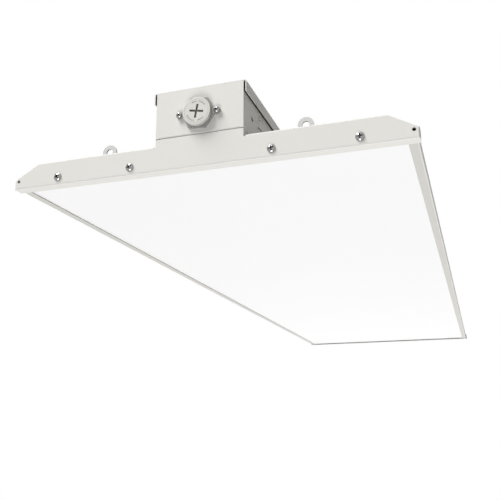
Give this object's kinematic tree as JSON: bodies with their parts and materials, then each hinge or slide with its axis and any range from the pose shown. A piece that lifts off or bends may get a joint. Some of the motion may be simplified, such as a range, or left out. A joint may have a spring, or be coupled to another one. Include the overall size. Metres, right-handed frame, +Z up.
{
  "type": "high bay light",
  "caption": "Long flat suspended lighting fixture with a folded steel housing, frosted lens, driver box on top and a twist-off sensor cap.",
  "frame": {"origin": "on the plane of the end plates' bottom flanges, under the middle of the fixture", "axes": "+Z up from the lens side to the driver box, +Y along the fixture towards the rear end, +X to the right seen from the front end with the sensor cap"},
  "size_m": [0.381, 1.2291, 0.0797],
  "materials": {
    "white_paint": "satin white powder coat",
    "frosted_lens": "frosted white diffuser sheet",
    "black_plastic": "matt moulded",
    "white_plastic": "matt moulded",
    "driver_case": "satin",
    "rubber": "matt",
    "grey_plastic": "fine moulded grain",
    "brass": "bright",
    "zinc_steel": "zinc plated",
    "chrome": "polished",
    "green_screw": "green dye over zinc",
    "led_board": "white solder mask"
  },
  "bodies": {
    "housing": {"housing_pan": "white_paint", "front_end_plate": "white_paint", "rear_end_plate": "white_paint", "gear_tray": "white_paint", "front_panel": "white_paint", "rear_panel": "white_paint", "top_cover": "white_paint", "lens": "frosted_lens", "terminal_block": "black_plastic", "board_connectors": "white_plastic", "front_driver": "driver_case", "rear_driver": "driver_case", "wire_grommets": "rubber", "sensor_socket": "grey_plastic", "sensor_contacts": "brass", "socket_nuts": "zinc_steel", "front_end_screws": "chrome", "rear_end_screws": "chrome", "socket_screws": "chrome", "cover_screws": "chrome", "panel_foot_screws": "zinc_steel", "tray_screws": "zinc_steel", "driver_screws": "zinc_steel", "terminal_block_screw": "zinc_steel", "board_screws": "zinc_steel", "eyelet_rivets": "zinc_steel", "ground_screw": "green_screw", "led_board_left_outer_front": "led_board", "led_board_left_outer_rear": "led_board", "led_board_left_inner_front": "led_board", "led_board_left_inner_rear": "led_board", "led_board_right_inner_front": "led_board", "led_board_right_inner_rear": "led_board", "led_board_right_outer_front": "led_board", "led_board_right_outer_rear": "led_board", "front_left_eyelet": "zinc_steel", "front_right_eyelet": "zinc_steel", "rear_left_eyelet": "zinc_steel", "rear_right_eyelet": "zinc_steel"},
    "sensor_cap": {"sensor_cap": "grey_plastic", "cap_seal": "rubber"}
  },
  "joints": [
    {"name": "cap_twist", "type": "hinge", "parent": "housing", "child": "sensor_cap", "pos_m": [0, -0.61, 0.0503], "axis": [0, -1, 0], "range_deg": [0, 60]}
  ]
}
